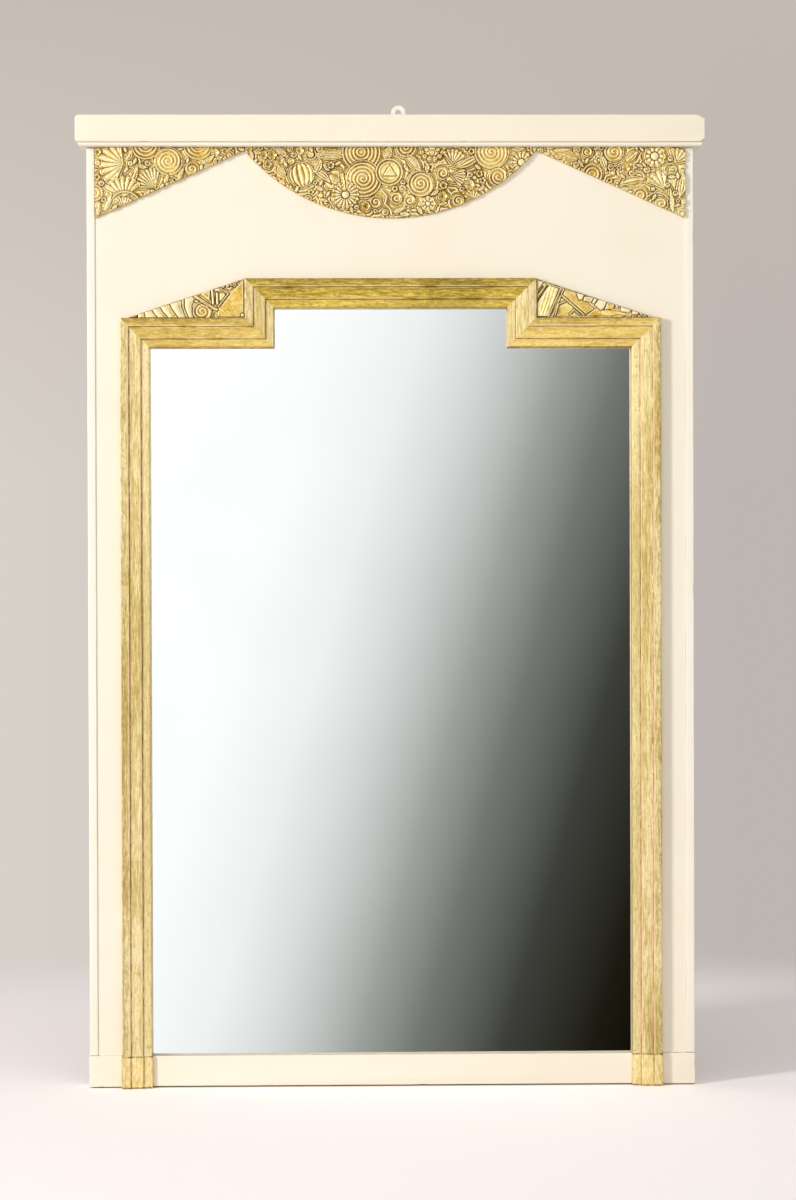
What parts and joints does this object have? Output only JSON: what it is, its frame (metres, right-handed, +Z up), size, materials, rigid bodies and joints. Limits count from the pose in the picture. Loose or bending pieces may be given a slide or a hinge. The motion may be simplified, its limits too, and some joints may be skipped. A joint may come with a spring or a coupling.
{
  "type": "overmantel mirror",
  "caption": "Tall overmantel mirror: cream painted case, flat cornice, stepped gilt moulding around the glass, gilt carved frieze and spandrels.",
  "frame": {"origin": "on the floor, midway between the sides and midway between the wall side and the cornice's front", "axes": "+Z up, the front with the glass faces -Y, the wall side faces +Y, +X is to the right of someone facing the glass"},
  "size_m": [1.034, 0.072, 1.6245],
  "materials": {
    "cream_enamel": "satin cream oil enamel on wood",
    "gold_leaf": "burnished gold leaf over red bole on carved wood",
    "silvered_glass": "polished silvered plate",
    "bare_softwood": "sawn softwood, aged",
    "backing_paper": "brown wrapping paper",
    "painted_iron": "iron painted over with cream enamel",
    "fastener_steel": "dull steel"
  },
  "bodies": {
    "root": {"side_board_left": "cream_enamel", "side_board_right": "cream_enamel", "frieze_board": "cream_enamel", "shoulder_board_left": "cream_enamel", "shoulder_board_right": "cream_enamel", "face_stile_left": "cream_enamel", "face_stile_right": "cream_enamel", "base_rail": "cream_enamel", "foot_block_left": "cream_enamel", "foot_block_right": "cream_enamel", "cornice_board": "cream_enamel", "cornice_underlay": "cream_enamel", "plinth_block_left": "gold_leaf", "plinth_block_right": "gold_leaf", "moulding_left_upright": "gold_leaf", "moulding_left_shoulder": "gold_leaf", "moulding_left_riser": "gold_leaf", "moulding_top": "gold_leaf", "moulding_right_riser": "gold_leaf", "moulding_right_shoulder": "gold_leaf", "moulding_right_upright": "gold_leaf", "spandrel_left": "gold_leaf", "spandrel_right": "gold_leaf", "frieze_carving_left": "gold_leaf", "frieze_carving_centre": "gold_leaf", "frieze_carving_right": "gold_leaf", "glazing_batten_left": "bare_softwood", "glazing_batten_right": "bare_softwood", "glazing_batten_top": "bare_softwood", "glazing_batten_bottom": "bare_softwood", "top_rail": "bare_softwood", "cross_rail": "bare_softwood", "bottom_rail": "bare_softwood", "corner_blocks": "bare_softwood", "back_board_left": "bare_softwood", "back_board_centre": "bare_softwood", "back_board_right": "bare_softwood", "batten_screws": "fastener_steel", "back_nails": "fastener_steel", "mirror_glass": "silvered_glass", "backing_paper": "backing_paper", "hanging_plate": "painted_iron", "hanging_plate_screws": "painted_iron"}
  },
  "joints": []
}
